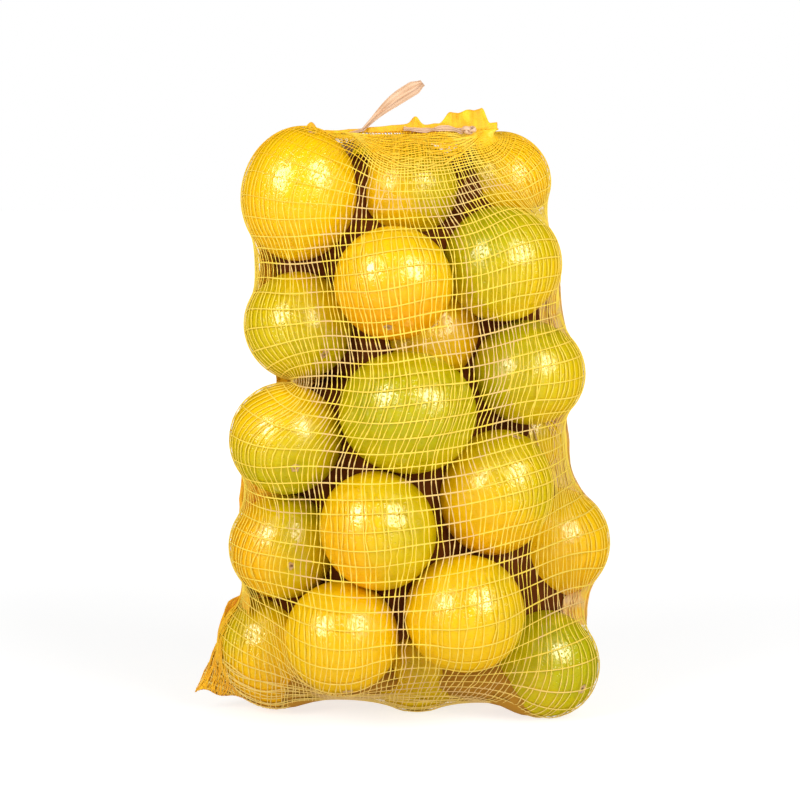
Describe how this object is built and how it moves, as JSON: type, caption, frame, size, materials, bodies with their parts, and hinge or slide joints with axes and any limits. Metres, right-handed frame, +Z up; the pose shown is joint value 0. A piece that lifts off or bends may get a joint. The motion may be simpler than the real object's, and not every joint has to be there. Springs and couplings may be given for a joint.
{
  "type": "net bag of oranges",
  "caption": "Upright raschel net bag packed tight with oranges, its mouth drawn together by a flat drawstring.",
  "frame": {"origin": "on the floor, in a flat spot under the middle of the bag", "axes": "+Z up, from the bottom seam to the mouth; the bag faces -Y, and +X is to the right as it is seen from the front"},
  "size_m": [0.2841, 0.2194, 0.4267],
  "materials": {
    "net": "fine orange-yellow raschel net of flat plastic threads over the fruit",
    "peel": "waxed orange peel, yellow to green, with fine pores",
    "hem": "rolled and stitched net hem, several layers thick",
    "tape": "beige woven plastic drawstring tape, satin"
  },
  "bodies": {
    "root": {"net_bag": "net", "mouth_hem": "hem", "drawstring_run": "tape", "drawstring_knot": "tape", "drawstring_loop": "tape"}
  },
  "joints": []
}
